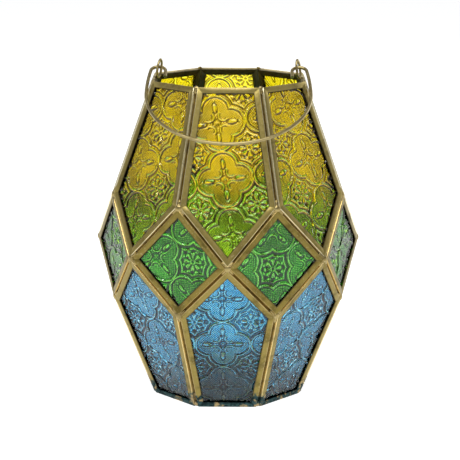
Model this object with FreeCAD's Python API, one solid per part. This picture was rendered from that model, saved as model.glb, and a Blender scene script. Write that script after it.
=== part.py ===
import FreeCAD, Part
import math
import os

os.makedirs("parts", exist_ok=True)

# Candle lantern: an eight-sided faceted lantern of coloured figured glass.
# Each of its 24 panes sits in its own brass channel frame ("came"), made of
# mitred rails. The frames meet along their inner edges and are soldered
# together at the corners. A wire bail hangs in two wire ears at the open top.
# Millimetres, +Z up, origin at the middle of the flat foot, front towards -Y.

# ---- driving dimensions -------------------------------------------------
sides = 8
equator_radius = 85.0       # inner corners of the frames at the widest level
rim_height = 212.0          # inner edge of the open top
belt_top = 139.8            # upper corners of the green diamonds
equator_height = 104.6      # side corners of the diamonds
belt_bottom = 71.1          # lower corners of the diamonds
foot_height = 0.95          # inner edge of the lowest rails, above the table

came_width = 4.0            # visible face of a rail
came_depth = 3.5            # thickness of a rail, front to back
came_wall = 0.5             # brass strip that the rails are folded from
joint_gap = 0.04            # half the gap between neighbouring frames
glass_thickness = 2.2
glass_edge_gap = 0.3        # between a pane's edge and the bottom of its slot

base_thickness = 0.8
base_edge_gap = 0.1

bail_wire = 2.2
bail_radius = 53.4          # the half-round grip of the bail
bail_arm = 29.9             # from the hinge line to the centre of that half round
arm_bow_radius = 170.0      # slight bow of each arm
hook_radius = 4.9           # bend of the hook through each ear
hook_leg = 6.5              # straight end of the hook inside the ear
bail_rest_angle = 62.5      # between the resting bail and straight down
hinge_height = 219.6

ear_wire = 1.6
ear_x = 45.9                # where the bail crosses the ear
ear_lean = 8.0              # degrees, the ear's top leans inwards
ear_turn = 20.0             # degrees, about the upright, both ears the same way
ear_half_width = 3.3
ear_side_radius = 5.6       # the two sides of the pointed top
ear_tip_radius = 0.9
ear_drop = 3.5              # hinge line to the centre of the ear's round foot

# solder beads: distance of each centre from its corner, and its radius
belt_bead_out = 2.4
belt_bead_radius = 1.8
belt_bead_tilt = 0.2        # rise of the outward direction per millimetre
equator_bead_out = 2.2
equator_bead_radius = 1.7
foot_bead_out = 2.1
foot_bead_radius = 1.8
foot_bead_height = 2.6
rim_bead_out = 1.5
rim_bead_radius = 1.5
ear_bead_radius = 1.8

cup_radius = 19.0
cup_height = 15.0
cup_wall = 0.4
cup_lip = 0.7
cup_lip_height = 0.5
wax_height = 11.5
wick_radius = 0.7
wick_height = 7.0
tealight_gap = 0.1          # above the base plate

# ---- derived sizes ------------------------------------------------------
half_step = math.pi / sides
flat_ratio = math.cos(half_step)
belt_radius = equator_radius * flat_ratio
belt_draw_in = equator_radius * (1 - flat_ratio ** 2)
upper_slope = belt_draw_in / (belt_top - equator_height)
lower_slope = belt_draw_in / (equator_height - belt_bottom)
rim_flat = equator_radius - upper_slope * (rim_height - equator_height)
foot_flat = equator_radius - lower_slope * (equator_height - foot_height)
rim_radius = rim_flat / flat_ratio
foot_radius = foot_flat / flat_ratio
tealight_floor = base_thickness + tealight_gap
least_arm_lean = 0.02       # radians, limits between which the arm's end slope lies
steepest_arm_lean = 0.25
halvings = 60

axis_z = FreeCAD.Vector(0, 0, 1)
origin = FreeCAD.Vector(0, 0, 0)


def save(name, solids):
    shape = solids[0] if len(solids) == 1 else Part.makeCompound(solids)
    shape.exportStep("parts/%s.step" % name)


def ring_point(radius, angle, height):
    """Point at an angle from the front, counted towards +X."""
    return FreeCAD.Vector(radius * math.sin(angle), -radius * math.cos(angle), height)


def turned(shape, steps):
    copy = shape.copy()
    copy.rotate(origin, axis_z, steps * 360.0 / sides)
    return copy


# ---- panes and their frames ---------------------------------------------
def facet_normal(corners):
    across = corners[1] - corners[0]
    along = corners[2] - corners[1]
    normal = across.cross(along)
    normal.normalize()
    if normal.dot(corners[0]) < 0:
        normal = normal * -1
    return normal


def inset_outline(corners, normal, amount):
    """Corners of the same outline with every side moved inwards."""
    moved = []
    count = len(corners)
    for i in range(count):
        before = corners[i] - corners[i - 1]
        after = corners[(i + 1) % count] - corners[i]
        before.normalize()
        after.normalize()
        half_turn = before.getAngle(after) / 2
        inwards = after - before
        inwards.normalize()
        moved.append(corners[i] + inwards * (amount / math.cos(half_turn)))
    return moved


def plate(corners, normal, start, thickness):
    points = [p + normal * start for p in corners]
    face = Part.Face(Part.makePolygon(points + [points[0]]))
    return face.extrude(normal * thickness)


def came_rails(corners, normal):
    outer = inset_outline(corners, normal, joint_gap)
    inner = inset_outline(corners, normal, joint_gap + came_width)
    slot_outline = inset_outline(corners, normal, joint_gap + came_wall)
    slot = plate(slot_outline, normal, came_wall, came_depth - 2 * came_wall)
    rails = []
    for i in range(len(corners)):
        j = (i + 1) % len(corners)
        bar = plate([outer[i], outer[j], inner[j], inner[i]], normal, 0, came_depth)
        rails.append(bar.cut(slot).Solids[0])
    return rails


def glass_pane(corners, normal):
    edge = joint_gap + came_wall + glass_edge_gap
    start = (came_depth - glass_thickness) / 2
    return plate(inset_outline(corners, normal, edge), normal, start, glass_thickness)


def upper_corners():
    return [
        ring_point(equator_radius, 0, equator_height),
        ring_point(belt_radius, half_step, belt_top),
        ring_point(rim_radius, half_step, rim_height),
        ring_point(rim_radius, -half_step, rim_height),
        ring_point(belt_radius, -half_step, belt_top),
    ]


def diamond_corners():
    return [
        ring_point(belt_radius, half_step, belt_bottom),
        ring_point(equator_radius, 2 * half_step, equator_height),
        ring_point(belt_radius, half_step, belt_top),
        ring_point(equator_radius, 0, equator_height),
    ]


def lower_corners():
    return [
        ring_point(equator_radius, 0, equator_height),
        ring_point(belt_radius, -half_step, belt_bottom),
        ring_point(foot_radius, -half_step, foot_height),
        ring_point(foot_radius, half_step, foot_height),
        ring_point(belt_radius, half_step, belt_bottom),
    ]


def above_table(solids):
    """The lower frames are ground flat where they stand."""
    reach = 2 * equator_radius
    below = Part.makeBox(2 * reach, 2 * reach, reach, FreeCAD.Vector(-reach, -reach, -reach))
    return [s.cut(below).Solids[0] for s in solids]


def make_panes():
    bands = {"upper": upper_corners(), "diamond": diamond_corners(), "lower": lower_corners()}
    for band, corners in bands.items():
        normal = facet_normal(corners)
        rails = came_rails(corners, normal)
        if band == "lower":
            rails = above_table(rails)
        pane = glass_pane(corners, normal)
        for k in range(sides):
            save("came_%s_%d" % (band, k + 1), [turned(rail, k) for rail in rails])
            save("glass_%s_%d" % (band, k + 1), [turned(pane, k)])


# ---- base plate ---------------------------------------------------------
def make_base_plate():
    radius = foot_radius - base_edge_gap / flat_ratio
    corners = [ring_point(radius, (2 * k + 1) * half_step, 0) for k in range(sides)]
    save("base_plate", [plate(corners, axis_z, 0, base_thickness)])


# ---- solder beads -------------------------------------------------------
def largest(shape):
    return max(shape.Solids, key=lambda solid: solid.Volume)


def facet_blocks():
    """Every frame as a plain block, to shape the solder against."""
    blocks = {}
    for band, corners in (
        ("upper", upper_corners()),
        ("diamond", diamond_corners()),
        ("lower", lower_corners()),
    ):
        normal = facet_normal(corners)
        blocks[band] = plate(inset_outline(corners, normal, joint_gap), normal, 0, came_depth)
    return blocks


def bead(corner, outwards, depth, radius, neighbours):
    outwards.normalize()
    ball = Part.makeSphere(radius, corner + outwards * depth)
    for block in neighbours:
        ball = ball.cut(block)
    return largest(ball)


def make_solder(blocks):
    upper_pair = [turned(blocks["upper"], k) for k in (0, 1)]
    lower_pair = [turned(blocks["lower"], k) for k in (0, 1)]
    seam = half_step
    beads = {
        "solder_belt_top": bead(
            ring_point(belt_radius, seam, belt_top), ring_point(1, seam, belt_bead_tilt),
            belt_bead_out, belt_bead_radius, upper_pair + [blocks["diamond"]]),
        "solder_equator": bead(
            ring_point(equator_radius, 0, equator_height), ring_point(1, 0, 0),
            equator_bead_out, equator_bead_radius,
            [blocks["upper"], blocks["lower"], blocks["diamond"], turned(blocks["diamond"], -1)]),
        "solder_belt_bottom": bead(
            ring_point(belt_radius, seam, belt_bottom), ring_point(1, seam, -belt_bead_tilt),
            belt_bead_out, belt_bead_radius, lower_pair + [blocks["diamond"]]),
        "solder_foot": bead(
            ring_point(foot_radius, seam, foot_bead_height), ring_point(1, seam, 0),
            foot_bead_out, foot_bead_radius, lower_pair),
    }
    for name, solid in beads.items():
        save(name, [turned(solid, k) for k in range(sides)])
    rim_bead = bead(
        ring_point(rim_radius, seam, rim_height), ring_point(1, seam, 0),
        rim_bead_out, rim_bead_radius, upper_pair)
    return [turned(rim_bead, k) for k in range(sides)]


# ---- ears ---------------------------------------------------------------
def ear_point(across, up):
    lean = math.radians(ear_lean)
    turn = math.radians(ear_turn)
    x = ear_x - up * math.sin(lean) + across * math.sin(turn)
    return FreeCAD.Vector(x, across * math.cos(turn), hinge_height + up * math.cos(lean))


def arc(start, middle, end):
    return Part.Arc(start, middle, end).toShape()


def line(start, end):
    return Part.LineSegment(start, end).toShape()


def wire_solid(edges, start, direction, wire):
    circle = Part.Circle(start, direction, wire / 2).toShape()
    path = Part.Wire(edges)
    return path.makePipeShell([Part.Wire([circle])], True, True)


def ear_loop():
    side_centre = ear_half_width - ear_side_radius
    tip_centre = math.sqrt(
        (ear_side_radius - ear_tip_radius) ** 2 - (ear_side_radius - ear_half_width) ** 2)
    turn = math.atan2(tip_centre, -side_centre)

    def side(angle):
        return (side_centre + ear_side_radius * math.cos(angle), ear_side_radius * math.sin(angle))

    (mid_y, mid_s), (end_y, end_s) = side(turn / 2), side(turn)
    foot = -ear_drop
    start = ear_point(ear_half_width, foot)
    tip = ear_point(0, tip_centre + ear_tip_radius)
    edges = [
        line(start, ear_point(ear_half_width, 0)),
        arc(ear_point(ear_half_width, 0), ear_point(mid_y, mid_s), ear_point(end_y, end_s)),
        arc(ear_point(end_y, end_s), tip, ear_point(-end_y, end_s)),
        arc(ear_point(-end_y, end_s), ear_point(-mid_y, mid_s), ear_point(-ear_half_width, 0)),
        line(ear_point(-ear_half_width, 0), ear_point(-ear_half_width, foot)),
        arc(ear_point(-ear_half_width, foot), ear_point(0, foot - ear_half_width), start),
    ]
    return wire_solid(edges, start, ear_point(0, 1) - ear_point(0, 0), ear_wire)


def make_ears(blocks, rim_beads):
    ear = ear_loop()
    foot = ear_point(0, -ear_drop - ear_half_width)
    joint = Part.makeSphere(ear_bead_radius, foot)
    joint = largest(joint.cut(turned(blocks["upper"], 2)).cut(ear))
    for name, steps in (("ear_right", 0), ("ear_left", sides // 2)):
        save(name, [turned(ear, steps)])
    ear_beads = [joint, turned(joint, sides // 2)]
    save("solder_rim", rim_beads + ear_beads)


# ---- bail ---------------------------------------------------------------
def bail_point(x, down):
    """Point in the bail's own plane, measured down from the hinge line."""
    rest = math.radians(bail_rest_angle)
    return FreeCAD.Vector(x, -down * math.sin(rest), hinge_height - down * math.cos(rest))


def make_bail():
    # the arm's bow meets the hook tangentially, at the angle "lean"
    def hook_centre(lean):
        x = bail_radius - arm_bow_radius * (1 - math.cos(lean)) - hook_radius * math.cos(lean)
        y = bail_arm - arm_bow_radius * math.sin(lean) + hook_radius * math.sin(lean)
        return x, y

    def arm(angle):
        return (bail_radius - arm_bow_radius * (1 - math.cos(angle)),
                bail_arm - arm_bow_radius * math.sin(angle))

    def hook(angle):
        return (hook_x + hook_radius * math.cos(angle), hook_down - hook_radius * math.sin(angle))

    # the hook crosses the hinge line where it passes through the ear
    def miss(lean):
        x, y = hook_centre(lean)
        return y - math.sqrt(hook_radius ** 2 - (x - ear_x) ** 2)

    low, high = least_arm_lean, steepest_arm_lean
    for _ in range(halvings):
        lean = (low + high) / 2
        if miss(lean) > 0:
            low = lean
        else:
            high = lean
    hook_x, hook_down = hook_centre(lean)
    inner = (hook_x - hook_radius, hook_down)
    tip = (inner[0], hook_down + hook_leg)
    joints = [arm(lean), arm(lean / 2), arm(0)]
    half = bail_radius * math.sin(math.pi / 4)

    def mirrored(point):
        return bail_point(-point[0], point[1])

    def plain(point):
        return bail_point(point[0], point[1])

    top = hook(math.pi / 2 + lean / 2)
    edges = [
        line(plain(tip), plain(inner)),
        arc(plain(inner), plain(top), plain(joints[0])),
        arc(plain(joints[0]), plain(joints[1]), plain(joints[2])),
        arc(plain(joints[2]), bail_point(half, bail_arm + half), bail_point(0, bail_arm + bail_radius)),
        arc(bail_point(0, bail_arm + bail_radius), bail_point(-half, bail_arm + half),
            mirrored(joints[2])),
        arc(mirrored(joints[2]), mirrored(joints[1]), mirrored(joints[0])),
        arc(mirrored(joints[0]), mirrored(top), mirrored(inner)),
        line(mirrored(inner), mirrored(tip)),
    ]
    save("handle", [wire_solid(edges, plain(tip), plain(inner) - plain(tip), bail_wire)])


# ---- tea light ----------------------------------------------------------
def make_tealight():
    floor = tealight_floor
    inside = cup_radius - cup_wall
    cup = Part.makeCylinder(cup_radius, cup_height, FreeCAD.Vector(0, 0, floor))
    lip = Part.makeCylinder(
        cup_radius + cup_lip, cup_lip_height,
        FreeCAD.Vector(0, 0, floor + cup_height - cup_lip_height))
    hollow = Part.makeCylinder(inside, cup_height, FreeCAD.Vector(0, 0, floor + cup_wall))
    save("tealight_cup", [cup.fuse(lip).cut(hollow)])
    wax_floor = floor + cup_wall
    wick_hole = Part.makeCylinder(wick_radius, wax_height, FreeCAD.Vector(0, 0, wax_floor))
    wax = Part.makeCylinder(inside, wax_height, FreeCAD.Vector(0, 0, wax_floor)).cut(wick_hole)
    save("tealight_wax", [wax])
    wick = Part.makeCylinder(
        wick_radius, wax_height + wick_height, FreeCAD.Vector(0, 0, wax_floor))
    save("tealight_wick", [wick])


make_panes()
make_base_plate()
facets = facet_blocks()
rim_solder = make_solder(facets)
make_ears(facets, rim_solder)
make_bail()
make_tealight()
print("rim radius %.2f, foot radius %.2f, belt radius %.2f" % (rim_radius, foot_radius, belt_radius))
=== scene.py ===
import math
import bpy
import bmesh
import numpy as np
from mathutils import Matrix, Vector


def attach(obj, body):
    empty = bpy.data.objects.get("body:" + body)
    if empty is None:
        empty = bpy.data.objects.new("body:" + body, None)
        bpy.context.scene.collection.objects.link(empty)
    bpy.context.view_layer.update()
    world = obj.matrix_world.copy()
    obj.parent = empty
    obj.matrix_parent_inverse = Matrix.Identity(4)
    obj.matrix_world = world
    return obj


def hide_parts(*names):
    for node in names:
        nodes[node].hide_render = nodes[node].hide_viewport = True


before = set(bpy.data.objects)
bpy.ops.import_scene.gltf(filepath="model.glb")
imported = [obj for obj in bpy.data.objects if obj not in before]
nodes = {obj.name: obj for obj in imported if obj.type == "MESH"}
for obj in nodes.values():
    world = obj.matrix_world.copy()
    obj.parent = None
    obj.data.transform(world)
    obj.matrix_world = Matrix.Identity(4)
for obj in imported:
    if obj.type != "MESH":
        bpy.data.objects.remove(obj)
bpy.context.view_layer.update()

mm = 0.001
sides = 8
bands = ("upper", "diamond", "lower")
print("frame loaded:", len(nodes), "nodes")


# meshes and attributes
def newObject(name, mesh):
    obj = bpy.data.objects.new(name, mesh)
    bpy.context.scene.collection.objects.link(obj)
    return obj


def buildMesh(name, points, quads, triangles=()):
    quads = np.asarray(quads, dtype=np.int32).reshape(-1, 4)
    triangles = np.asarray(triangles, dtype=np.int32).reshape(-1, 3)
    mesh = bpy.data.meshes.new(name)
    mesh.vertices.add(len(points))
    mesh.vertices.foreach_set("co", np.asarray(points, dtype=np.float32).ravel())
    mesh.loops.add(quads.size + triangles.size)
    mesh.loops.foreach_set("vertex_index", np.concatenate([quads.ravel(), triangles.ravel()]))
    mesh.polygons.add(len(quads) + len(triangles))
    starts = np.concatenate([
        np.arange(len(quads)) * 4, quads.size + np.arange(len(triangles)) * 3])
    mesh.polygons.foreach_set("loop_start", starts.astype(np.int32))
    mesh.update(calc_edges=True)
    return mesh


def shadeSmooth(mesh, sharpAngle=None):
    mesh.polygons.foreach_set("use_smooth", [True] * len(mesh.polygons))
    if sharpAngle is not None:
        mesh.set_sharp_from_angle(angle=math.radians(sharpAngle))
    mesh.update()


def pointAttribute(mesh, name, values):
    layer = mesh.attributes.new(name, "FLOAT", "POINT")
    layer.data.foreach_set("value", np.asarray(values, dtype=np.float32))


def convexHull(points):
    ordered = sorted({(round(float(x), 7), round(float(y), 7)) for x, y in points})

    def half(sequence):
        kept = []
        for p in sequence:
            while len(kept) > 1:
                (ax, ay), (bx, by) = kept[-2], kept[-1]
                if (bx - ax) * (p[1] - ay) - (by - ay) * (p[0] - ax) > 1e-9:
                    break
                kept.pop()
            kept.append(p)
        return kept[:-1]

    return np.array(half(ordered) + half(ordered[::-1]))


def clip01(x):
    return np.clip(x, 0, 1)


def softStep(x, low, high):
    t = clip01((x - low) / (high - low))
    return t * t * (3 - 2 * t)


# node trees
def addNode(tree, kind, inputs=None, **settings):
    node = tree.nodes.new(kind)
    for key, value in settings.items():
        setattr(node, key, value)
    for key, value in (inputs or {}).items():
        if isinstance(value, bpy.types.NodeSocket):
            tree.links.new(value, node.inputs[key])
        else:
            node.inputs[key].default_value = value
    return node


def addMath(tree, operation, a, b=0.0, clamp=False):
    node = addNode(tree, "ShaderNodeMath", {0: a, 1: b}, operation=operation, use_clamp=clamp)
    return node.outputs[0]


def addMix(tree, factor, a, b):
    return addNode(tree, "ShaderNodeMix", {0: factor, 6: a, 7: b}, data_type="RGBA").outputs[2]


def addRange(tree, value, low, high, toLow=0.0, toHigh=1.0):
    node = addNode(tree, "ShaderNodeMapRange", {0: value, 1: low, 2: high, 3: toLow, 4: toHigh})
    node.interpolation_type = "SMOOTHSTEP"
    return node.outputs[0]


def newSurface(name):
    material = bpy.data.materials.new(name)
    material.use_nodes = True
    return material, material.node_tree, material.node_tree.nodes["Principled BSDF"]


def addRelief(tree, shader, height, strength):
    relief = addNode(tree, "ShaderNodeBump", {"Height": height, "Strength": strength,
                                              "Distance": 0.3 * mm})
    tree.links.new(relief.outputs[0], shader.inputs["Normal"])


def newGroup(name, kind, inputs, outputs):
    tree = bpy.data.node_groups.new(name, kind)
    for label, socket, value in inputs:
        item = tree.interface.new_socket(label, in_out="INPUT", socket_type=socket)
        if value is not None:
            item.default_value = value
    for label, socket in outputs:
        tree.interface.new_socket(label, in_out="OUTPUT", socket_type=socket)
    return tree, tree.nodes.new("NodeGroupInput").outputs, tree.nodes.new("NodeGroupOutput").inputs


# each pane's plane is read from its packed glass plate
cameSizes = {
    "edgeGap": 0.8 * mm,     # from a pane's edge to the outside of its frame
    "faceGap": 0.65 * mm,    # from a pane's face to the outside of its frame
}


class Facet:
    def __init__(self, nodeName):
        mesh = nodes[nodeName].data
        points = np.array([v.co[:] for v in mesh.vertices])
        outwards = [p for p in mesh.polygons if p.normal.dot(p.center) > 0]
        self.normal = np.array(max(outwards, key=lambda p: p.area).normal[:])
        across = np.cross([0, 0, 1], self.normal)
        self.across = across / np.linalg.norm(across)
        self.up = np.cross(self.normal, self.across)
        depths = points @ self.normal
        self.inner, self.outer = depths.min(), depths.max()
        self.outline = convexHull(np.stack([points @ self.across, points @ self.up], 1))

    def place(self, flat, depth):
        depth = np.broadcast_to(depth, len(flat)).reshape(-1, 1)
        return flat[:, :1] * self.across + flat[:, 1:2] * self.up + depth * self.normal

    def mitres(self):
        before = self.outline - np.roll(self.outline, 1, 0)
        after = np.roll(self.outline, -1, 0) - self.outline
        leftOf = [np.stack([-e[:, 1], e[:, 0]], 1) / np.linalg.norm(e, axis=1)[:, None]
                  for e in (before, after)]
        middle = leftOf[0] + leftOf[1]
        return middle / np.sum(middle * leftOf[0], 1)[:, None]

    def frameCorners(self):
        outer = self.outline - self.mitres() * cameSizes["edgeGap"]
        return self.place(outer, self.inner - cameSizes["faceGap"])

    def edgeDistance(self, flat):
        best = np.full(len(flat), 1e9)
        normalOfBest = np.zeros((len(flat), 2))
        for a, b in zip(self.outline, np.roll(self.outline, -1, 0)):
            along = (b - a) / np.linalg.norm(b - a)
            inwards = np.array([-along[1], along[0]])
            distance = (flat - a) @ inwards
            nearer = distance < best
            best = np.where(nearer, distance, best)
            normalOfBest[nearer] = inwards
        return best, normalOfBest


facets = {band: [Facet("glass_%s_%d" % (band, k + 1)) for k in range(sides)] for band in bands}

# camera, light and floor
studio = {
    "elevation": 13.34, "turn": 0.16, "roll": 0.26,   # degrees
    "distance": 1.013, "aimHeight": 0.1046,
    "right": 0.00125, "up": 0.00411,
    "lens": 116.6, "sensor": 36.0,
    "floorColor": (0.55, 0.55, 0.548, 1), "floorGlow": 0.84,
    "floorSize": 30.0,
    "ceilingColor": (0.215, 0.22, 0.23, 1), "horizonColor": (0.92, 0.92, 0.92, 1),
    "coveTop": 0.3,                                   # sine of the height where the cove ends
}
softboxes = {                 # place, size in metres, power in watts
    "frontHigh": ((0.1, -0.75, 1.55), 1.0, 18),
    "keyLeft": ((-0.75, -0.8, 1.25), 0.28, 5),
    "leftBack": ((-1.2, 0.8, 0.75), 0.7, 2.2),
    "rightBack": ((1.2, 0.8, 0.65), 0.8, 4.5),
    "topBack": ((0.0, 1.3, 1.2), 0.8, 6),
}


def makeCamera():
    data = bpy.data.cameras.new("camera")
    data.lens = studio["lens"]
    data.sensor_width = studio["sensor"]
    camera = bpy.data.objects.new("camera", data)
    bpy.context.scene.collection.objects.link(camera)
    tilt = math.radians(studio["elevation"])
    ahead = Vector((0, math.cos(tilt), -math.sin(tilt)))
    right = Vector((1, 0, 0))
    up = right.cross(ahead)
    place = Vector((0, 0, studio["aimHeight"])) - ahead * studio["distance"]
    place += right * studio["right"] + up * studio["up"]
    axes = Matrix((right, up, -ahead)).transposed().to_4x4()
    turn = Matrix.Rotation(math.radians(studio["turn"]), 4, "Z")
    roll = Matrix.Rotation(math.radians(studio["roll"]), 4, "Z")
    camera.matrix_world = turn @ Matrix.Translation(place) @ axes @ roll
    bpy.context.scene.camera = camera


def makeSoftbox(name, place, size, power):
    light = bpy.data.lights.new(name, "AREA")
    light.shape = "SQUARE"
    light.size = size
    light.energy = power
    obj = bpy.data.objects.new(name, light)
    bpy.context.scene.collection.objects.link(obj)
    obj.location = place
    aim = Vector((0, 0, studio["aimHeight"])) - Vector(place)
    obj.rotation_euler = aim.to_track_quat("-Z", "Y").to_euler()


def makeFloor():
    half = studio["floorSize"] / 2
    corners = [(-half, -half, 0), (half, -half, 0), (half, half, 0), (-half, half, 0)]
    floor = newObject("floor", buildMesh("floor", corners, [(0, 1, 2, 3)]))
    material, _, shader = newSurface("paleFloor")
    shader.inputs["Base Color"].default_value = studio["floorColor"]
    shader.inputs["Roughness"].default_value = 0.9
    shader.inputs["Specular IOR Level"].default_value = 0.1
    shader.inputs["Emission Color"].default_value = (1, 1, 1, 1)
    shader.inputs["Emission Strength"].default_value = studio["floorGlow"]
    floor.data.materials.append(material)


def makeWorld():
    scene = bpy.context.scene
    scene.view_settings.view_transform = "Standard"
    world = bpy.data.worlds.new("studio")
    world.use_nodes = True
    tree = world.node_tree
    background = tree.nodes["Background"]
    ray = addNode(tree, "ShaderNodeTexCoord").outputs["Generated"]
    height = addNode(tree, "ShaderNodeSeparateXYZ", {0: ray}).outputs["Z"]
    rise = addRange(tree, height, 0.0, studio["coveTop"])
    cove = addMix(tree, rise, studio["horizonColor"], studio["ceilingColor"])
    tree.links.new(cove, background.inputs["Color"])
    background.inputs["Strength"].default_value = 1.0
    scene.world = world


makeCamera()
makeWorld()
makeFloor()
for boxName, (boxPlace, boxSize, boxPower) in softboxes.items():
    makeSoftbox(boxName, boxPlace, boxSize, boxPower)
print("camera, light and floor ready")


# shader groups that several materials share
def makeRubbedMetal():
    tree, inputs, outputs = newGroup(
        "rubbedMetal", "ShaderNodeTree",
        [("Base", "NodeSocketColor", (0.4, 0.32, 0.16, 1)),
         ("Tarnish", "NodeSocketColor", (0.12, 0.09, 0.04, 1)),
         ("Bright", "NodeSocketColor", (0.8, 0.7, 0.45, 1)),
         ("Flank Highlight", "NodeSocketColor", (0.98, 0.93, 0.74, 1)),
         ("Dark Inside And Shadow", "NodeSocketColor", (0.05, 0.04, 0.018, 1)),
         ("Wear", "NodeSocketFloat", 0.5),
         ("Roughness", "NodeSocketFloat", 0.35)],
        [("Color", "NodeSocketColor"), ("Roughness", "NodeSocketFloat"), ("Height", "NodeSocketFloat")])
    place = addNode(tree, "ShaderNodeTexCoord").outputs["Object"]
    blotch = addNode(tree, "ShaderNodeTexNoise", {"Vector": place, "Scale": 90.0, "Detail": 5.0,
                                                  "Roughness": 0.65}).outputs["Fac"]
    fine = addNode(tree, "ShaderNodeTexNoise", {"Vector": place, "Scale": 900.0, "Detail": 3.0,
                                                "Roughness": 0.6}).outputs["Fac"]
    stretched = addNode(tree, "ShaderNodeMapping", {"Vector": place, "Scale": (1400.0, 1400.0, 160.0)})
    streak = addNode(tree, "ShaderNodeTexNoise", {"Vector": stretched.outputs[0], "Scale": 1.0,
                                                  "Detail": 2.0}).outputs["Fac"]
    tarnish = addMath(tree, "MULTIPLY", addRange(tree, blotch, 0.47, 0.68), 0.75)
    color = addMix(tree, tarnish, inputs["Base"], inputs["Tarnish"])
    worn = addMath(tree, "MULTIPLY", addRange(tree, fine, 0.55, 0.75), inputs["Wear"])
    color = addMix(tree, worn, color, inputs["Bright"])
    # painted highlight: a pale strip along the groove's side
    flank = addNode(tree, "ShaderNodeAttribute", attribute_name="flank").outputs["Fac"]
    highlightMask = addMath(tree, "MULTIPLY", flank, addRange(tree, blotch, 0.72, 0.5, 0.45, 1.0))
    color = addMix(tree, highlightMask, color, inputs["Flank Highlight"])
    # the inner side darker, and the painted shadow along the edge that meets the glass
    darkInsideAndShadow = addNode(tree, "ShaderNodeAttribute", attribute_name="darkInsideAndShadow").outputs["Fac"]
    color = addMix(tree, addMath(tree, "MULTIPLY", darkInsideAndShadow, 0.88), color, inputs["Dark Inside And Shadow"])
    rough = addMath(tree, "ADD", inputs["Roughness"], addMath(tree, "MULTIPLY", tarnish, 0.18))
    rough = addMath(tree, "SUBTRACT", rough, addMath(tree, "MULTIPLY", highlightMask, 0.12))
    rough = addMath(tree, "ADD", rough, addMath(tree, "MULTIPLY", darkInsideAndShadow, 0.25))
    rough = addMath(tree, "ADD", rough, addMath(tree, "MULTIPLY", fine, 0.12), clamp=True)
    height = addMath(tree, "ADD", addMath(tree, "MULTIPLY", streak, 0.6), fine)
    tree.links.new(color, outputs["Color"])
    tree.links.new(rough, outputs["Roughness"])
    tree.links.new(height, outputs["Height"])
    return tree


def makeFootPatina():
    tree, inputs, outputs = newGroup(
        "footPatina", "ShaderNodeTree",
        [("Color", "NodeSocketColor", (0.5, 0.4, 0.2, 1)), ("Height", "NodeSocketFloat", 0.012)],
        [("Color", "NodeSocketColor"), ("Mask", "NodeSocketFloat")])
    place = addNode(tree, "ShaderNodeTexCoord").outputs["Object"]
    level = addNode(tree, "ShaderNodeSeparateXYZ", {0: place}).outputs["Z"]
    patches = addNode(tree, "ShaderNodeTexNoise", {"Vector": place, "Scale": 170.0, "Detail": 4.0,
                                                   "Roughness": 0.6}).outputs["Fac"]
    spots = addNode(tree, "ShaderNodeTexNoise", {"Vector": place, "Scale": 420.0, "Detail": 3.0,
                                                 "Distortion": 1.5}).outputs["Fac"]
    reach = addMath(tree, "ADD", inputs["Height"],
                    addMath(tree, "MULTIPLY", addMath(tree, "SUBTRACT", patches, 0.5), 0.022))
    below = addMath(tree, "SUBTRACT", reach, level)
    mask = addRange(tree, below, 0.0, 0.003)
    dark = addMix(tree, addRange(tree, spots, 0.4, 0.6), (0.012, 0.028, 0.03, 1), (0.05, 0.11, 0.11, 1))
    mottled = addMix(tree, addRange(tree, patches, 0.52, 0.6), dark, (0.42, 0.32, 0.16, 1))
    tree.links.new(addMix(tree, mask, inputs["Color"], mottled), outputs["Color"])
    tree.links.new(mask, outputs["Mask"])
    return tree


rubbedMetal = makeRubbedMetal()
footPatina = makeFootPatina()

# materials
# the same brass in three brightnesses by band: the upper band's lighter as painted light, the belt's
# darker as painted shade
brassFinishes = {
    "brassUpper": {"base": (0.35, 0.275, 0.085, 1), "tarnish": (0.15, 0.115, 0.032, 1), "wear": 0.25},
    "brassBelt": {"base": (0.21, 0.16, 0.038, 1), "tarnish": (0.08, 0.06, 0.013, 1), "wear": 0.25,
                  "flankHighlight": (0.66, 0.50, 0.20, 1)},
    "brassLower": {"base": (0.265, 0.205, 0.058, 1), "tarnish": (0.11, 0.085, 0.022, 1), "wear": 0.25,
                   "flankHighlight": (0.80, 0.65, 0.34, 1)},
    "brassWire": {"base": (0.36, 0.29, 0.13, 1), "tarnish": (0.17, 0.13, 0.055, 1), "wear": 0.35,
                  "roughness": 0.26},
    "solderMetal": {"base": (0.36, 0.28, 0.11, 1), "tarnish": (0.17, 0.13, 0.05, 1), "wear": 0.4,
                    "roughness": 0.24},
    "seamMetal": {"base": (0.13, 0.082, 0.016, 1), "tarnish": (0.03, 0.018, 0.004, 1), "wear": 0.12},
}


def metalMaterial(name, base, tarnish, wear, flankHighlight=(0.96, 0.89, 0.64, 1), roughness=0.3, bump=0.12):
    material, tree, shader = newSurface(name)
    shader.inputs["Metallic"].default_value = 0.96
    metal = addNode(tree, "ShaderNodeGroup", node_tree=rubbedMetal)
    metal.inputs["Base"].default_value = base
    metal.inputs["Tarnish"].default_value = tarnish
    metal.inputs["Wear"].default_value = wear
    metal.inputs["Flank Highlight"].default_value = flankHighlight
    metal.inputs["Roughness"].default_value = roughness
    foot = addNode(tree, "ShaderNodeGroup", {}, node_tree=footPatina)
    tree.links.new(metal.outputs["Color"], foot.inputs["Color"])
    rough = addMath(tree, "ADD", metal.outputs["Roughness"],
                    addMath(tree, "MULTIPLY", foot.outputs["Mask"], 0.3))
    tree.links.new(foot.outputs["Color"], shader.inputs["Base Color"])
    tree.links.new(rough, shader.inputs["Roughness"])
    addRelief(tree, shader, metal.outputs["Height"], bump)
    return material


metals = {name: metalMaterial(name, **finish) for name, finish in brassFinishes.items()}

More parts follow.
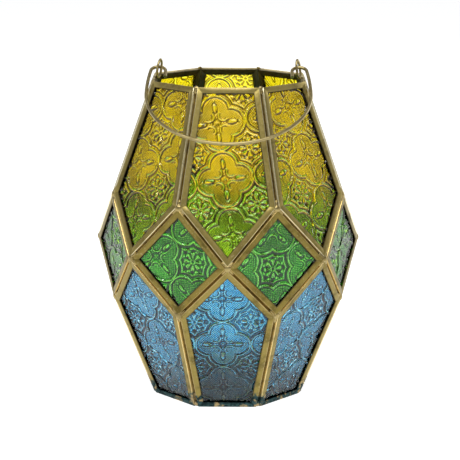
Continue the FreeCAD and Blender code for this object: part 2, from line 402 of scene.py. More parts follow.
# each glass: a painted shade tint, its body colour, and a clear tint for the back face that is also the
# painted highlight
glassFinishes = {
    "amberGlass": {"shadeTint": (0.07, 0.034, 0.0, 1), "body": (1.0, 0.66, 0.0, 1),
                   "clear": (1.0, 0.96, 0.04, 1)},
    "greenGlass": {"shadeTint": (0.0, 0.002, 0.0, 1), "body": (0.008, 0.25, 0.0003, 1),
                   "clear": (0.66, 1.0, 0.12, 1)},
    "blueGlass": {"shadeTint": (0.0, 0.002, 0.006, 1), "body": (0.008, 0.42, 1.0, 1),
                  "clear": (0.66, 1.0, 1.0, 1)},
}


def makeGlassTone():
    tree, inputs, outputs = newGroup(
        "glassTone", "ShaderNodeTree",
        [("Shade Tint", "NodeSocketColor", (0, 0, 0, 1)), ("Body", "NodeSocketColor", (0.5, 0.5, 0.5, 1)),
         ("Clear And Highlight", "NodeSocketColor", (1, 1, 1, 1))],
        [("Color", "NodeSocketColor"), ("Roughness", "NodeSocketFloat"), ("Height", "NodeSocketFloat")])
    place = addNode(tree, "ShaderNodeTexCoord").outputs["Object"]
    cloud = addNode(tree, "ShaderNodeTexNoise", {"Vector": place, "Scale": 45.0,
                                                 "Detail": 3.0}).outputs["Fac"]
    grain = addNode(tree, "ShaderNodeTexNoise", {"Vector": place, "Scale": 700.0,
                                                 "Detail": 2.0}).outputs["Fac"]
    tone = addNode(tree, "ShaderNodeAttribute", attribute_name="tone").outputs["Fac"]
    tone = addMath(tree, "ADD", tone, addRange(tree, cloud, 0.35, 0.65, -0.07, 0.07))
    # the tone attribute mixes painted shade and painted highlight into the glass's colour
    low = addMix(tree, addRange(tree, tone, 0.0, 0.5), inputs["Shade Tint"], inputs["Body"])
    tree.links.new(addMix(tree, addRange(tree, tone, 0.5, 1.0), low, inputs["Clear And Highlight"]), outputs["Color"])
    tree.links.new(addRange(tree, cloud, 0.35, 0.7, 0.02, 0.05), outputs["Roughness"])
    tree.links.new(grain, outputs["Height"])
    return tree


glassTone = makeGlassTone()


def glassMaterial(name, shadeTint, body, clear):
    material, tree, shader = newSurface(name)
    shader.inputs["Metallic"].default_value = 0.0
    shader.inputs["Transmission Weight"].default_value = 1.0
    shader.inputs["IOR"].default_value = 1.5
    shader.inputs["Specular IOR Level"].default_value = 0.2
    tone = addNode(tree, "ShaderNodeGroup", node_tree=glassTone)
    tone.inputs["Shade Tint"].default_value = shadeTint
    tone.inputs["Body"].default_value = body
    tone.inputs["Clear And Highlight"].default_value = clear
    tree.links.new(tone.outputs["Color"], shader.inputs["Base Color"])
    tree.links.new(tone.outputs["Roughness"], shader.inputs["Roughness"])
    addRelief(tree, shader, tone.outputs["Height"], 0.12)
    return material


glasses = {name: glassMaterial(name, **finish) for name, finish in glassFinishes.items()}
print("materials ready")

# figured glass: one repeat of the pressed pattern, in millimetres
glassPattern = {
    "repeat": 36.0,          # between medallion centres
    "lobeOffset": 8.7, "lobeRadius": 9.3,       # a medallion is four overlapping round lobes
    "lineIn": 0.4, "lineWidth": 0.9, "lineHeight": 0.75,   # the raised line round a medallion
    "outerLine": 2.7, "outerWidth": 0.65, "outerHeight": 0.42,
    "fieldFrom": 1.5, "fieldTo": 2.1,           # the stippled field fades in behind that line
    "stipplePitch": 1.62, "stippleHeight": 0.34,
    "budPlace": 9.8, "budLength": 3.0, "budWidth": 1.55, "budTaper": 0.82, "budHeight": 0.62,
    "seedPlace": 14.0, "seedSize": 0.75, "seedHeight": 0.35,
    "armCentre": 4.5, "armRadius": 3.0, "armWidth": 0.62, "armEnd": 9.4, "armHeight": 0.5,
    "ballSize": 1.5, "ballHeight": 0.62,
    "budClear": 1.5, "armClear": 1.3, "ballClear": 3.4,    # plain margins round bud, arm and ball
    "groundFrom": 3.1, "groundTo": 3.9,         # the daisy's ground begins outside the outer line
    "petals": 8, "petalStart": 1.9, "petalEnd": 6.3, "petalHeight": 0.6,
    "ringRadius": 1.5, "ringWidth": 0.7, "ringHeight": 0.42,
    "leafPlace": 7.4, "leafLength": 1.8, "leafHeight": 0.42,
    "grid": 0.38,            # between points of the pressed face
    "sink": 0.8,             # how far the plain ground lies below the plate's face
    "reliefFrom": 0.3, "reliefTo": 1.6,      # the relief fades out towards a pane's edge
    "ripple": 0.03,          # waviness of the rolled plate
    "groundTone": 0.48, "heightMiddle": 0.4, "creaseReach": 0.78,
    # raised parts lighter and the sunk ground darker: painted highlight and painted shade
    "heightTone": {"upper": 0.6, "diamond": 0.85, "lower": 1.05},
    # painted light: creases darker, crests lighter, slopes facing up and left lighter as if lit from
    # there
    "creaseShading": {"upper": 2.8, "diamond": 4.4, "lower": 5.2},
    "slopeShading": {"upper": 1.3, "diamond": 1.7, "lower": 2.1}, "slopeLightLean": 0.35,
    "shadowFrom": 3.2, "shadowTo": 4.8, "shadowTone": 0.4,   # from a pane's edge inwards
}


def dome(distance, halfWidth, power=1.0):
    return np.clip(1 - (distance / halfWidth) ** 2, 0, None) ** power


def patternHeight(x, y):
    p = glassPattern
    cell = p["repeat"]
    ax = np.abs((x + cell / 2) % cell - cell / 2)
    ay = np.abs((y + cell / 2) % cell - cell / 2)
    centre = np.hypot(ax, ay)
    lobe = np.minimum(np.hypot(ax - p["lobeOffset"], ay), np.hypot(ax, ay - p["lobeOffset"]))
    outside = lobe - p["lobeRadius"]
    height = p["lineHeight"] * dome(outside + p["lineIn"], p["lineWidth"])
    height += p["outerHeight"] * dome(outside - p["outerLine"], p["outerWidth"])

    # inside a medallion: a cross of buds and curled arms round a ball, on stippled ground
    along, off = np.maximum(ax, ay), np.minimum(ax, ay)
    taper = np.where(ay > ax, p["budTaper"], 1.0) * p["budWidth"]
    bud = np.hypot((along - p["budPlace"]) / p["budLength"], off / taper)
    arm = np.hypot(ax - p["armCentre"], ay - p["armCentre"]) - p["armRadius"]
    armEnd = softStep(p["armEnd"] - ax - ay, 0, 1)
    motif = np.maximum.reduce([
        p["budHeight"] * dome(bud, 1, 0.6),
        p["seedHeight"] * dome(np.hypot(along - p["seedPlace"], off), p["seedSize"]),
        p["armHeight"] * dome(arm, p["armWidth"]) * armEnd,
        p["ballHeight"] * dome(centre, p["ballSize"], 0.6)])
    plain = np.maximum.reduce([
        softStep(p["budClear"] - bud, 0, 0.25),
        softStep(p["armClear"] - np.abs(arm), 0, 0.4) * armEnd,
        softStep(p["ballClear"] - centre, 0, 0.6)])
    turn = 2 * math.pi / p["stipplePitch"]
    stipple = 0.5 + 0.5 * np.cos(turn * ax) * np.cos(turn * ay)
    field = softStep(-outside, p["fieldFrom"], p["fieldTo"])
    height += field * (motif + p["stippleHeight"] * stipple * (1 - plain))

    # the daisy in the space between four medallions
    radius = np.hypot(cell / 2 - ax, cell / 2 - ay)
    angle = np.arctan2(cell / 2 - ay, cell / 2 - ax)
    wave = np.cos(p["petals"] * angle)
    ring = p["ringHeight"] * dome(radius - p["ringRadius"], p["ringWidth"])
    reach = softStep(radius - p["petalStart"], 0, 0.7) * softStep(p["petalEnd"] - radius, 0, 0.9)
    petal = p["petalHeight"] * reach * clip01(0.4 + 0.75 * wave + 0.04 * radius)
    leaf = p["leafHeight"] * dome(radius - p["leafPlace"], p["leafLength"]) * clip01(0.1 - wave)
    ground = softStep(outside, p["groundFrom"], p["groundTo"])
    return height + ground * np.maximum.reduce([ring, petal, leaf])


# panes
patternPlace = {             # shift in millimetres and turn in degrees, pane by pane from the front
    "upper": [(2.6, 4.9, 8.3), (-8.3, -2.1, 12.4), (11, -5, 4), (2, 14, -11),
              (-9, 8, 3), (6, -12, 12), (-3, 5, -8), (14, -2.5, 14.1)],
    "diamond": [(-13.8, -17.4, 47), (1, 16, 35), (14, 3, 61), (17, 12, 47),
                (5, 18, 40), (18, 8, 55), (9, 15, 38), (9.8, -12.3, 43)],
    "lower": [(2.8, 0, 0.7), (16.3, -0.7, -17.1), (-11, 2, -18), (3, 12, 7),
              (9, -4, -10), (-6, 7, 15), (12, 10, -5), (-3.7, 5.4, 12)],
}


def boundaryLoop(inside):
    edges = {}
    stride = inside.shape[1] + 1
    padded = np.pad(inside, 1)
    for i, j in np.argwhere(inside):
        corners = (i * stride + j, i * stride + j + 1, (i + 1) * stride + j + 1, (i + 1) * stride + j)
        around = (padded[i, j + 1], padded[i + 1, j + 2], padded[i + 2, j + 1], padded[i + 1, j])
        for k in range(4):
            if not around[k]:
                edges[corners[k]] = corners[(k + 1) % 4]
    start = min(edges)
    loop = [start]
    while edges[loop[-1]] != start:
        loop.append(edges[loop[-1]])
    return np.array(loop)


def pressedPane(name, band, facet, shiftX, shiftY, turn):
    pitch = glassPattern["grid"] * mm
    low = facet.outline.min(0) - pitch / 2
    counts = np.ceil((facet.outline.max(0) - low) / pitch).astype(int) + 1
    gx, gy = np.meshgrid(low[0] + pitch * np.arange(counts[0]), low[1] + pitch * np.arange(counts[1]))
    grid = np.stack([gx.ravel(), gy.ravel()], 1)
    middles = (grid.reshape(counts[1], counts[0], 2)[:-1, :-1] + pitch / 2).reshape(-1, 2)
    inside = (facet.edgeDistance(middles)[0] > 0).reshape(counts[1] - 1, counts[0] - 1)
    loop = boundaryLoop(inside)
    for _ in range(3):       # draw the outermost points onto the plate's edge
        distance, inwards = facet.edgeDistance(grid[loop])
        grid[loop] -= distance[:, None] * inwards

    cells = np.argwhere(inside)
    first = cells[:, 0] * counts[0] + cells[:, 1]
    quads = np.stack([first, first + 1, first + counts[0] + 1, first + counts[0]], 1)
    used, quads = np.unique(quads, return_inverse=True)
    quads = quads.reshape(-1, 4)
    loop = np.searchsorted(used, loop)
    flat = grid[used]

    centre = facet.outline.mean(0)
    spin = math.radians(turn)
    local = (flat - centre) / mm
    px = local[:, 0] * math.cos(spin) + local[:, 1] * math.sin(spin) + shiftX
    py = local[:, 1] * math.cos(spin) - local[:, 0] * math.sin(spin) + shiftY
    fromEdge = facet.edgeDistance(flat)[0] / mm
    height = patternHeight(px, py)
    reach = glassPattern["creaseReach"]
    rightX, rightY = reach * math.cos(spin), -reach * math.sin(spin)
    upX, upY = reach * math.sin(spin), reach * math.cos(spin)
    right, left = patternHeight(px + rightX, py + rightY), patternHeight(px - rightX, py - rightY)
    above, below = patternHeight(px + upX, py + upY), patternHeight(px - upX, py - upY)
    p = glassPattern
    # painted shade and highlight: creases and down-facing slopes darker, crests and up-facing slopes
    # lighter
    crease = height - (right + left + above + below) / 4
    upwards = below - above + p["slopeLightLean"] * (right - left)
    tone = p["groundTone"] + p["creaseShading"][band] * crease + p["slopeShading"][band] * upwards
    tone += p["heightTone"][band] * (height / p["lineHeight"] - p["heightMiddle"])
    tone -= p["shadowTone"] * (1 - softStep(fromEdge, p["shadowFrom"], p["shadowTo"]))
    relief = height * softStep(fromEdge, p["reliefFrom"], p["reliefTo"])
    ripple = p["ripple"] * np.sin(px * 0.31 + 2) * np.sin(py * 0.27 + 1)
    top = facet.outer + np.minimum(relief + ripple - p["sink"], 0) * mm

    face = facet.place(flat, top)
    back = facet.place(flat[loop], facet.inner)
    hub = facet.place(centre[None], facet.inner)
    points = np.concatenate([face, back, hub])
    count = len(face)
    nextOne = np.roll(loop, -1)
    ids = count + np.arange(len(loop))
    nextId = np.roll(ids, -1)
    walls = np.stack([nextOne, loop, ids, nextId], 1)
    fan = np.stack([nextId, ids, np.full(len(loop), len(points) - 1)], 1)
    mesh = buildMesh(name, points, np.concatenate([quads, walls]), fan)
    smooth = np.zeros(len(mesh.polygons), dtype=bool)
    smooth[:len(quads)] = True
    mesh.polygons.foreach_set("use_smooth", smooth)
    pointAttribute(mesh, "tone", np.concatenate([clip01(tone), np.full(len(loop) + 1, 1.0)]))
    return newObject(name, mesh)


def makePanes():
    slots = {"upper": ("amber_glass", "amberGlass"), "diamond": ("green_glass", "greenGlass"),
             "lower": ("blue_glass", "blueGlass")}
    for band in bands:
        slotName, finish = slots[band]
        for k, facet in enumerate(facets[band]):
            shiftX, shiftY, turn = patternPlace[band][k]
            pane = pressedPane("pane_%s_%d" % (band, k + 1), band, facet, shiftX, shiftY, turn)
            pane.data.materials.append(glasses[finish])
            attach(pane, "lantern")
            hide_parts("glass_%s_%d" % (band, k + 1))


makePanes()
print("panes pressed")

# what repeats eight times round the lantern
def makeRingTree():
    tree, inputs, outputs = newGroup(
        "ringOfCopies", "GeometryNodeTree",
        [("Geometry", "NodeSocketGeometry", None), ("Count", "NodeSocketInt", 8),
         ("Wobble", "NodeSocketFloat", 0.0001), ("Wobble Scale", "NodeSocketFloat", 60.0),
         ("Seed", "NodeSocketFloat", 0.0), ("Material", "NodeSocketMaterial", None)],
        [("Geometry", "NodeSocketGeometry")])
    points = addNode(tree, "GeometryNodePoints", {"Count": inputs["Count"]})
    index = addNode(tree, "GeometryNodeInputIndex").outputs[0]
    step = addMath(tree, "DIVIDE", 2 * math.pi, inputs["Count"])
    turn = addNode(tree, "ShaderNodeCombineXYZ", {"Z": addMath(tree, "MULTIPLY", index, step)})
    rotation = addNode(tree, "FunctionNodeEulerToRotation", {0: turn.outputs[0]})
    copies = addNode(tree, "GeometryNodeInstanceOnPoints", {
        "Points": points.outputs[0], "Instance": inputs["Geometry"], "Rotation": rotation.outputs[0]})
    real = addNode(tree, "GeometryNodeRealizeInstances", {"Geometry": copies.outputs[0]})
    noise = addNode(tree, "ShaderNodeTexNoise", {"Scale": inputs["Wobble Scale"], "W": inputs["Seed"],
                                                 "Detail": 1.0}, noise_dimensions="4D")
    centred = addNode(tree, "ShaderNodeVectorMath", {0: noise.outputs["Color"], 1: (0.5, 0.5, 0.5)},
                      operation="SUBTRACT")
    offset = addNode(tree, "ShaderNodeVectorMath", {0: centred.outputs[0], "Scale": inputs["Wobble"]},
                     operation="SCALE")
    moved = addNode(tree, "GeometryNodeSetPosition", {"Geometry": real.outputs[0],
                                                      "Offset": offset.outputs[0]})
    painted = addNode(tree, "GeometryNodeSetMaterial", {"Geometry": moved.outputs[0],
                                                        "Material": inputs["Material"]})
    tree.links.new(painted.outputs[0], outputs["Geometry"])
    return tree


ringTree = makeRingTree()


def ringPiece(name, oneMesh, material, slotName, replaced, **settings):
    seedObject = newObject(name + "_one", oneMesh)
    modifier = seedObject.modifiers.new("ring", "NODES")
    modifier.node_group = ringTree
    values = {"Count": sides, "Material": material, **settings}
    for item in ringTree.interface.items_tree:
        if item.in_out == "INPUT" and item.name in values:
            modifier[item.identifier] = values[item.name]
    graph = bpy.context.evaluated_depsgraph_get()
    mesh = bpy.data.meshes.new_from_object(seedObject.evaluated_get(graph), depsgraph=graph)
    mesh.name = name
    bpy.data.objects.remove(seedObject)
    piece = newObject(name, mesh)
    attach(piece, "lantern")
    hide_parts(*replaced)
    return piece


# came frames: folded brass channel, mitred at the corners
came = {
    "width": 4.0, "depth": 3.5, "wall": 0.5,   # millimetres
    "fold": 0.45, "lip": 0.2, "backEdge": 0.05,  # edge radii
    "crown": 0.08,                             # the face is very slightly domed
    "mitreSink": 0.1, "mitreWidth": 0.4,
    "edgeShadowWidth": 0.7, "edgeShadow": 1.0,           # painted shadow: a dark line along the edge that meets the glass
    "flankHighlightWidth": 0.3,                          # painted highlight: a pale strip along the groove's side
    "darkInsideFrom": 0.3, "darkInsideTo": 1.0,            # the inner side is darker, by depth
    "sharpAngle": 40,
    "spacing": 5.0,                            # between sections along a rail
    "wobble": 0.22 * mm, "wobbleScale": 45.0,
}


def roundedLoop(corners, steps=3):
    points = []
    count = len(corners)
    for i, (x, y, radius) in enumerate(corners):
        here = np.array([x, y])
        before = np.array(corners[i - 1][:2]) - here
        after = np.array(corners[(i + 1) % count][:2]) - here
        before, after = before / np.linalg.norm(before), after / np.linalg.norm(after)
        if radius == 0:
            points.append(here)
            continue
        start, end = here + before * radius, here + after * radius
        for t in np.linspace(0, 1, steps + 1):
            points.append((1 - t) ** 2 * start + 2 * t * (1 - t) * here + t ** 2 * end)
    return np.array(points)


def cameSection():
    w, d, wall, fold, lip = (came[key] for key in ("width", "depth", "wall", "fold", "lip"))
    crown = came["crown"]
    return roundedLoop([
        (0, 0, came["backEdge"]), (0, d, fold), (w / 2, d + crown, 0),
        (w - came["edgeShadowWidth"], d, 0), (w, d - crown, lip), (w, d - wall, lip),
        (wall, d - wall, 0), (wall, wall, 0), (w, wall, lip), (w, 0, lip)])


def cameFrame(band, facet):
    section = cameSection() * mm
    middle = np.array([came["width"] / 2, came["depth"] / 2]) * mm
    shrink = np.clip(section - middle, -came["mitreSink"] * mm, came["mitreSink"] * mm)
    outline = facet.outline - facet.mitres() * cameSizes["edgeGap"]
    inwards = facet.mitres()
    base = facet.inner - cameSizes["faceGap"]
    heights = facet.frameCorners()[:, 2]
    openEnd = {"upper": heights.max(), "lower": heights.min()}.get(band, math.inf)
    # painted highlight on the groove's side
    flankHighlight = 1 - softStep(section[:, 0] / mm, 0.02, came["flankHighlightWidth"])
    # painted shadow along the edge that meets the glass
    edgeShadow = softStep(section[:, 0] / mm, came["width"] - came["edgeShadowWidth"], came["width"] - 0.1)
    inner = 1 - softStep(section[:, 1] / mm, came["darkInsideFrom"], came["darkInsideTo"])
    # darker inner side joined with the painted edge shadow
    darkInsideAndShadow = np.maximum(inner, came["edgeShadow"] * edgeShadow)
    rings, flank = [], []
    for i in range(len(outline)):
        j = (i + 1) % len(outline)
        length = np.linalg.norm(outline[j] - outline[i])
        isOpen = abs(heights[i] - openEnd) < 0.1 * mm and abs(heights[j] - openEnd) < 0.1 * mm
        nearEnd = came["mitreWidth"] * mm / length
        middleSteps = int(length / (came["spacing"] * mm))
        stops = np.concatenate([[0], np.linspace(nearEnd, 1 - nearEnd, middleSteps)])
        for t in stops:
            profile = section - shrink if t == 0 else section
            start = outline[i] + inwards[i] * profile[:, :1]
            end = outline[j] + inwards[j] * profile[:, :1]
            rings.append(facet.place(start * (1 - t) + end * t, base + profile[:, 1]))
            flank.append(flankHighlight * (0 if isOpen else 1))
    points = np.concatenate(rings)
    size, count = len(section), len(rings)
    ringIds = np.arange(count)[:, None] * size + np.arange(size)[None]
    nextRing = np.roll(ringIds, -1, 0)
    quads = np.stack([
        ringIds, np.roll(ringIds, -1, 1), np.roll(nextRing, -1, 1), nextRing], 2).reshape(-1, 4)
    mesh = buildMesh("came_one_" + band, points, quads)
    pointAttribute(mesh, "flank", np.concatenate(flank))
    pointAttribute(mesh, "darkInsideAndShadow", np.tile(darkInsideAndShadow, count))
    flipInsideOut(mesh)
    shadeSmooth(mesh, came["sharpAngle"])
    return mesh


def grindFlat(mesh):          # nothing goes below the surface it stands on
    points = np.zeros(len(mesh.vertices) * 3, dtype=np.float32)
    mesh.vertices.foreach_get("co", points)
    points[2::3] = np.maximum(points[2::3], 0)
    mesh.vertices.foreach_set("co", points)
    mesh.update()


def flipInsideOut(mesh):
    bm = bmesh.new()
    bm.from_mesh(mesh)
    bmesh.ops.recalc_face_normals(bm, faces=bm.faces)
    if bm.calc_volume(signed=True) < 0:
        bmesh.ops.reverse_faces(bm, faces=bm.faces)
    bm.to_mesh(mesh)
    bm.free()


def makeCames():
    finishes = {"upper": "brassUpper", "diamond": "brassBelt", "lower": "brassLower"}
    for seed, band in enumerate(bands):
        oneFrame = cameFrame(band, facets[band][0])
        piece = ringPiece(
            "frames_" + band, oneFrame, metals[finishes[band]], "brass",
            ["came_%s_%d" % (band, k + 1) for k in range(sides)],
            **{"Wobble": came["wobble"], "Wobble Scale": came["wobbleScale"], "Seed": 3.0 * seed})
        grindFlat(piece.data)


makeCames()
print("frames made")

# solder: fillets along the grooves, flowing joints at the corners
solder = {                    # millimetres
    "filletDepth": 1.7, "filletSag": 0.3, "filletStart": 0.12, "filletOverlap": 0.08,
    "filletSpacing": 1.6, "filletUnevenness": 0.22,
    "filletLeast": 0.9, "filletMost": 2.4,
    "voxel": 0.26, "relaxSteps": 4,
    "coreOut": 2.8, "coreRadius": 2.2, "coreThickness": 1.0,
    "armLength": 2.7, "armRadius": 0.95, "armOut": 2.35,
    "wobble": 0.3 * mm, "wobbleScale": 220.0,
    "seamWobble": 0.1 * mm, "seamWobbleScale": 150.0, "seamSeed": 5.0,
    # each corner's joint: lift in millimetres, size
    "joints": {"rim": (-0.7, 0.8), "top": (0, 1), "front": (0, 0.95), "bottom": (0, 1),
               "foot": (1.8, 0.85)},
}


def unit(vector):
    return vector / np.linalg.norm(vector)


def findCorners():
    belt = facets["diamond"][0].frameCorners()
    byHeight = belt[np.argsort(belt[:, 2])]
    front, side = sorted(byHeight[1:3], key=lambda p: p[0])
    upper = facets["upper"][0].frameCorners()
    lower = facets["lower"][0].frameCorners()
    rim = max((p for p in upper if p[0] > 0), key=lambda p: p[2])
    foot = min((p for p in lower if p[0] > 0), key=lambda p: p[2])
    return {"rim": rim, "top": byHeight[3], "front": front, "side": side,
            "bottom": byHeight[0], "foot": foot}


def findGrooves():
    upper, lower = facets["upper"], facets["lower"]
    belt = facets["diamond"][0].normal
    return [("rim", "top", upper[0].normal, upper[1].normal),
            ("front", "top", upper[0].normal, belt), ("side", "top", upper[1].normal, belt),
            ("front", "bottom", lower[0].normal, belt), ("side", "bottom", lower[1].normal, belt),
            ("bottom", "foot", lower[0].normal, lower[1].normal)]


def sweptBody(rings):
    size, count = len(rings[0]), len(rings)
    ids = np.arange(size * count).reshape(count, size)
    nextIds = np.roll(ids, -1, 1)
    quads = np.stack([ids[:-1], nextIds[:-1], nextIds[1:], ids[1:]], 2).reshape(-1, 4)
    caps = [(ids[0, 0], ids[0, i + 1], ids[0, i]) for i in range(1, size - 1)]
    caps += [(ids[-1, 0], ids[-1, i], ids[-1, i + 1]) for i in range(1, size - 1)]
    return np.concatenate(rings), quads, np.array(caps)


def joinBodies(name, bodies):
    points, quads, triangles, offset = [], [], [], 0
    for bodyPoints, bodyQuads, bodyTriangles in bodies:
        points.append(bodyPoints)
        quads.append(bodyQuads + offset)
        triangles.append(bodyTriangles + offset)
        offset += len(bodyPoints)
    mesh = buildMesh(name, np.concatenate(points), np.concatenate(quads), np.concatenate(triangles))
    flipInsideOut(mesh)
    return mesh


def grooveFillets(corners, grooves):
    random = np.random.default_rng(7)
    bodies = []
    for startName, endName, normalA, normalB in grooves:
        start, end = corners[startName], corners[endName]
        out = unit(normalA + normalB)
        sideA, sideB = unit(normalA - out * (normalA @ out)), unit(normalB - out * (normalB @ out))
        steps = int(np.linalg.norm(end - start) / (solder["filletSpacing"] * mm))
        depths = solder["filletDepth"] + solder["filletUnevenness"] * random.standard_normal(steps + 1)
        depths = np.clip(np.convolve(depths, (0.25, 0.5, 0.25), "same"),
                         solder["filletLeast"], solder["filletMost"])
        rings = []
        for t, depth in zip(np.linspace(0, 1, steps + 1), depths):
            point = start * (1 - t) + end * t
            overlap = solder["filletOverlap"]
            left = normalA * depth + sideA * overlap
            right = normalB * depth + sideB * overlap
            ring = [out * solder["filletStart"], left]
            for across in (0.25, 0.5, 0.75):
                sag = solder["filletSag"] * 4 * across * (1 - across)
                ring.append(left * (1 - across) + right * across - out * sag)
            ring.append(right)
            rings.append(point + np.array(ring) * mm)
        bodies.append(sweptBody(rings))
    return joinBodies("fillets_one", bodies)


def moltenBody(name, lumps):
    bm = bmesh.new()
    for centre, axes, radii in lumps:
        turn = Matrix(np.array(axes).T.tolist()).to_4x4()
        place = Matrix.Translation(Vector(centre)) @ turn @ Matrix.Diagonal((*radii, 1))
        bmesh.ops.create_icosphere(bm, subdivisions=3, radius=1.0, matrix=place)
    mesh = bpy.data.meshes.new(name)
    bm.to_mesh(mesh)
    bm.free()
    source = newObject(name, mesh)
    remesh = source.modifiers.new("flow", "REMESH")
    remesh.mode = "VOXEL"
    remesh.voxel_size = solder["voxel"] * mm
    remesh.adaptivity = 0.0
    relax = source.modifiers.new("relax", "SMOOTH")
    relax.iterations = solder["relaxSteps"]
    graph = bpy.context.evaluated_depsgraph_get()
    result = bpy.data.meshes.new_from_object(source.evaluated_get(graph), depsgraph=graph)
    bpy.data.objects.remove(source)
    shadeSmooth(result)
    return result


def jointLumps(corner, arms, lift=0.0, size=1.0):
    out = unit(sum(arm[1] for arm in arms))
    across = unit(np.cross(out, arms[0][0]))
    along = np.cross(across, out)
    middle = corner + (out * solder["coreOut"] + np.array([0, 0, lift])) * mm
    radius, thickness = solder["coreRadius"] * size * mm, solder["coreThickness"] * size * mm
    lumps = [(middle, (along, across, out), (radius, radius, thickness))]
    for direction, outwards in arms:
        outwards = unit(outwards - direction * (outwards @ direction))
        side = np.cross(direction, outwards)
        reach = solder["armLength"] * size * mm
        centre = corner + direction * reach + outwards * solder["armOut"] * mm
        thin = solder["armRadius"] * mm
        lumps.append((centre, (direction, side, outwards), (reach, thin, thin)))
    return lumps


def makeSolder():
    corners, grooves = findCorners(), findGrooves()
    ends = {name: [] for name in corners}
    for a, b, normalA, normalB in grooves:
        direction = unit(corners[b] - corners[a])
        ends[a].append((direction, normalA + normalB))
        ends[b].append((-direction, normalA + normalB))
    quarter = 2 * math.pi / sides
    back = np.array(Matrix.Rotation(-quarter, 3, "Z"))
    ends["front"] += [(back @ d, back @ n) for d, n in ends["side"]]
    lumps = []
    for name, (lift, size) in solder["joints"].items():
        lumps += jointLumps(corners[name], ends[name], lift, size)
    joints = ringPiece("solder_joints", moltenBody("joints_one", lumps), metals["solderMetal"], "solder",
                       ["solder_rim", "solder_belt_top", "solder_equator", "solder_belt_bottom",
                        "solder_foot"],
                       **{"Wobble": solder["wobble"], "Wobble Scale": solder["wobbleScale"]})
    fillets = grooveFillets(corners, grooves)
    shadeSmooth(fillets, 50)
    seams = ringPiece("solder_seams", fillets, metals["seamMetal"], "solder", [],
                      **{"Wobble": solder["seamWobble"], "Wobble Scale": solder["seamWobbleScale"],
                         "Seed": solder["seamSeed"]})
    grindFlat(joints.data)
    grindFlat(seams.data)


earSolder = {                 # two lumps under each ear, in millimetres
    "footHeight": 1.2,
    "lumps": [((0.5, 0.0), (1.5, 2.3, 0.95)), ((1.6, 0.2), (1.3, 1.7, 0.8))],   # (out, up), radii
}


def makeEarSolder():
    for nodeName in ("ear_right", "ear_left"):
        points = np.array([v.co[:] for v in nodes[nodeName].data.vertices])
        footTop = points[:, 2].min() + earSolder["footHeight"] * mm
        foot = points[points[:, 2] < footTop].mean(0)
        outwards = unit(np.array([foot[0], 0, 0]))
        axes = (outwards, np.cross([0, 0, 1], outwards), (0, 0, 1))
        lumps = [(foot + outwards * out * mm + np.array([0, 0, up * mm]), axes,
                  tuple(radius * mm for radius in radii))
                 for (out, up), radii in earSolder["lumps"]]
        piece = newObject("solder_" + nodeName, moltenBody("earJoint", lumps))
        piece.data.materials.append(metals["solderMetal"])
        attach(piece, "lantern")


makeSolder()
makeEarSolder()
print("solder run")

# tea light
teaLight = {                  # millimetres
    "radius": 19.0, "height": 15.0, "wall": 0.4, "lip": 0.7, "lipHeight": 0.5,
    "flutes": 36, "fluteDepth": 0.3, "waxHeight": 11.5, "waxDip": 0.5,
    "wickHeight": 7.0, "strands": 3, "strandOut": 0.3, "strandRadius": 0.36, "strandEnd": 0.22,
    "strandTwist": 1.1, "wickBend": 0.5, "strandSteps": 70, "strandSides": 10,
}


def revolved(name, profile, count, flutes=0):
    angles = np.arange(count) * 2 * math.pi / count
    rings = []
    for angle in angles:
        radius = profile[:, 0] - profile[:, 2] * (0.5 - 0.5 * math.cos(flutes * angle))
        rings.append(np.stack([radius * math.cos(angle), radius * math.sin(angle), profile[:, 1]], 1))
    points = np.concatenate(rings) * mm
    size = len(profile)
    ids = np.arange(size * count).reshape(count, size)
    nextIds = np.roll(ids, -1, 0)
    quads = np.stack([ids[:, :-1], nextIds[:, :-1], nextIds[:, 1:], ids[:, 1:]], 2).reshape(-1, 4)
    mesh = buildMesh(name, points, quads)
    bm = bmesh.new()
    bm.from_mesh(mesh)
    bmesh.ops.remove_doubles(bm, verts=bm.verts, dist=0.005 * mm)
    bmesh.ops.recalc_face_normals(bm, faces=bm.faces)
    bm.to_mesh(mesh)
    bm.free()
    return mesh


def plainMaterial(name, dark, light, roughness, scale, metallic=0.0, bump=0.15, subsurface=0.0):
    material, tree, shader = newSurface(name)
    shader.inputs["Metallic"].default_value = metallic
    shader.inputs["Subsurface Weight"].default_value = subsurface
    shader.inputs["Subsurface Scale"].default_value = 0.002
    place = addNode(tree, "ShaderNodeTexCoord").outputs["Object"]
    noise = addNode(tree, "ShaderNodeTexNoise", {"Vector": place, "Scale": scale, "Detail": 4.0})
    spread = addRange(tree, noise.outputs["Fac"], 0.35, 0.65)
    tree.links.new(addMix(tree, spread, dark, light), shader.inputs["Base Color"])
    tree.links.new(addRange(tree, noise.outputs["Fac"], 0.3, 0.7, roughness, roughness + 0.15),
                   shader.inputs["Roughness"])
    addRelief(tree, shader, noise.outputs["Fac"], bump)
    return material


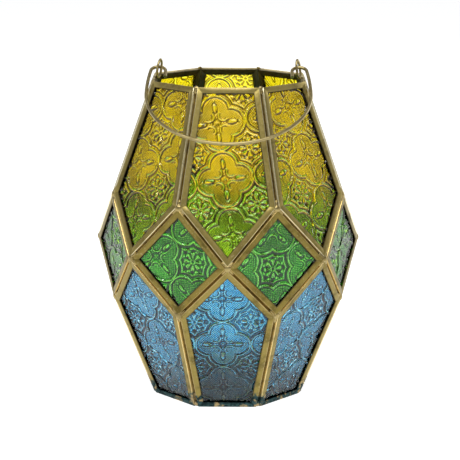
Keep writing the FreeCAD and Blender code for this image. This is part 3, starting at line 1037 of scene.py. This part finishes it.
def makeTeaLight():
    t = teaLight
    low = min(v.co.z for v in nodes["tealight_cup"].data.vertices) / mm
    radius, top, wall = t["radius"], low + t["height"], t["wall"]
    flute = t["fluteDepth"]
    profile = [(0, low, 0), (radius - 1.2, low, 0), (radius - 0.3, low + 0.25, flute / 2),
               (radius, low + 0.9, flute)]
    profile += [(radius, low + 0.9 + (t["height"] - 2.4) * s, flute) for s in (0.25, 0.5, 0.75, 1)]
    lipLow = top - t["lipHeight"]
    profile += [(radius, lipLow, 0), (radius + t["lip"] - 0.15, lipLow, 0),
                (radius + t["lip"], lipLow + 0.25, 0), (radius + t["lip"] - 0.15, top, 0),
                (radius - 0.1, top - 0.05, 0), (radius - wall, top - 0.5, 0)]
    profile += [(radius - wall, top - 2.0, flute / 2), (radius - wall, low + 1.2, flute / 2),
                (radius - wall - 1.0, low + wall, 0), (0, low + wall, 0)]
    cup = revolved("tealight_foil", np.array(profile), t["flutes"] * 6, t["flutes"])
    waxLow, waxTop = low + wall + 0.02, low + wall + t["waxHeight"]
    inside = radius - wall - flute / 2 - 0.03
    wax = [(0, waxLow, 0), (inside - 1.0, waxLow, 0), (inside, waxLow + 1.2, 0), (inside, waxTop, 0)]
    for s in np.linspace(0.97, 0.03, 14):
        dip = t["waxDip"] * (1 - s ** 6) * (0.7 + 0.3 * math.cos(5 * s))
        wax.append((inside * s, waxTop - dip, 0))
    wax.append((0, waxTop - t["waxDip"], 0))
    waxMesh = revolved("tealight_wax_body", np.array(wax), 96)

    wickLow, wickHigh = waxLow + 1, waxTop + t["wickHeight"]
    bodies = []
    for strand in range(t["strands"]):
        rings = []
        for s in np.linspace(0, 1, t["strandSteps"]):
            z = wickLow + (wickHigh - wickLow) * s
            phase = z * t["strandTwist"] + strand * 2 * math.pi / t["strands"]
            bend = t["wickBend"] * max(0, (z - waxTop) / t["wickHeight"]) ** 2
            out = t["strandOut"]
            thick = t["strandRadius"] if s < 0.97 else t["strandEnd"]
            centre = np.array([bend * 0.4 + out * math.cos(phase), out * math.sin(phase), z])
            spin = np.arange(t["strandSides"]) * 2 * math.pi / t["strandSides"]
            ring = np.stack([thick * np.cos(spin), thick * np.sin(spin), spin * 0], 1)
            rings.append((centre + ring) * mm)
        bodies.append(sweptBody(rings))
    wickMesh = joinBodies("tealight_wick_strands", bodies)
    foil = plainMaterial("foilCup", (0.26, 0.26, 0.27, 1), (0.50, 0.50, 0.52, 1), 0.22, 260.0, 1.0, 0.3)
    paraffin = plainMaterial("paraffin", (0.56, 0.52, 0.43, 1), (0.66, 0.63, 0.54, 1), 0.38, 90.0,
                             bump=0.2, subsurface=0.4)
    cotton = plainMaterial("waxedCotton", (0.30, 0.26, 0.19, 1), (0.50, 0.45, 0.36, 1), 0.7, 900.0,
                           bump=0.4)
    for mesh, material, slotName, node in ((cup, foil, "tealight_foil", "tealight_cup"),
                                           (waxMesh, paraffin, "wax", "tealight_wax"),
                                           (wickMesh, cotton, "wick", "tealight_wick")):
        flipInsideOut(mesh)
        shadeSmooth(mesh, 50)
        piece = newObject(mesh.name, mesh)
        piece.data.materials.append(material)
        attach(piece, "tealight")
        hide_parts(node)


makeTeaLight()
print("tea light made")

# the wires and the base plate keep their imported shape
for nodeName, finish in (("handle", "brassWire"), ("ear_left", "brassWire"), ("ear_right", "brassWire"),
                         ("base_plate", "brassLower")):
    nodes[nodeName].data.materials.clear()
    nodes[nodeName].data.materials.append(metals[finish])

bpy.context.view_layer.update()
